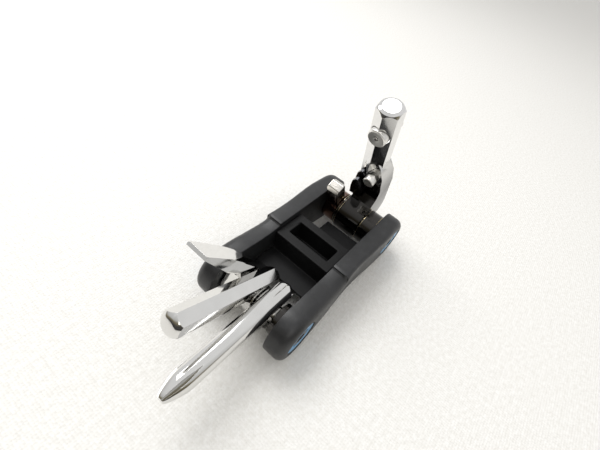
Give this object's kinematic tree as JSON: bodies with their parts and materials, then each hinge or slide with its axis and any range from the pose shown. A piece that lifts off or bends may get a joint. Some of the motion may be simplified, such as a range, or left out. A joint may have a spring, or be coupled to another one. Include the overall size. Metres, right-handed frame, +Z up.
{
  "type": "folding multi-tool with chain tool",
  "caption": "Folding pocket bicycle multi-tool: black side plates with blue pivot rings, cross-head driver, hex key, flat driver, and a chain-tool arm with driver screw.",
  "frame": {"origin": "centre of the bottom of the bounding box with the tools open, on the plane the side plates stand on", "axes": "+X along the handle towards the chain-tool end, +Y towards the left side plate, +Z up"},
  "size_m": [0.1086, 0.0368, 0.0616],
  "materials": {
    "plate_plastic": "fibre-reinforced nylon, fine grain, matte",
    "block_plastic": "moulded nylon, satin",
    "blue_ring": "light blue anodised",
    "black_steel": "black oxide steel",
    "chrome": "chrome plated tool steel",
    "steel": "turned steel",
    "dark_steel": "nickel plated steel"
  },
  "bodies": {
    "handle": {"left_side_plate": "plate_plastic", "right_side_plate": "plate_plastic", "bridge_block": "block_plastic", "front_pivot_screw": "black_steel", "front_pivot_nut": "black_steel", "front_sleeve": "steel", "front_ring_left": "blue_ring", "front_ring_right": "blue_ring", "rear_pivot_screw": "black_steel", "rear_pivot_nut": "black_steel", "rear_sleeve": "steel", "rear_ring_left": "blue_ring", "rear_ring_right": "blue_ring", "front_spacer_right": "steel", "front_washer_1": "steel", "front_washer_2": "steel", "rear_spacer_right": "dark_steel", "rear_washer": "steel"},
    "phillips": {"phillips_driver": "chrome"},
    "hex_key": {"hex_key_6": "chrome"},
    "flat_blade": {"flat_driver": "chrome"},
    "chain_tool": {"chain_tool_arm": "chrome", "chain_cradle": "black_steel", "chain_stud": "steel"},
    "driver_carriage": {"chain_driver_pin": "steel"},
    "driver_screw": {"chain_driver_screw": "chrome"},
    "stub": {"stub_bit": "dark_steel"}
  },
  "joints": [
    {"name": "phillips_fold", "type": "hinge", "parent": "handle", "child": "phillips", "pos_m": [-0.01639, 0, 0.0093], "axis": [0, -1, 0], "range_deg": [-54, 182]},
    {"name": "hex_key_fold", "type": "hinge", "parent": "handle", "child": "hex_key", "pos_m": [-0.01639, 0, 0.0093], "axis": [0, -1, 0], "range_deg": [-29, 206.6]},
    {"name": "flat_blade_fold", "type": "hinge", "parent": "handle", "child": "flat_blade", "pos_m": [-0.01639, 0, 0.0093], "axis": [0, -1, 0], "range_deg": [-4, 231.5]},
    {"name": "chain_tool_fold", "type": "hinge", "parent": "handle", "child": "chain_tool", "pos_m": [0.03961, 0, 0.0093], "axis": [0, -1, 0], "range_deg": [-50, 68]},
    {"name": "stub_fold", "type": "hinge", "parent": "handle", "child": "stub", "pos_m": [0.03961, 0, 0.0093], "axis": [0, -1, 0], "range_deg": [-29, 61]},
    {"name": "driver_feed", "type": "slide", "parent": "chain_tool", "child": "driver_carriage", "axis": [0.9272, 0, 0.3746], "range_m": [0, 0.004]},
    {"name": "driver_screw_turn", "type": "hinge", "parent": "driver_carriage", "child": "driver_screw", "pos_m": [0.0356, 0.0017, 0.05125], "axis": [0.9272, 0, 0.3746], "range_deg": [0, 1440.1]}
  ],
  "couplings": [
    {"joint": "driver_screw_turn", "follows": "driver_feed", "rad_per_m": 6283.2}
  ]
}
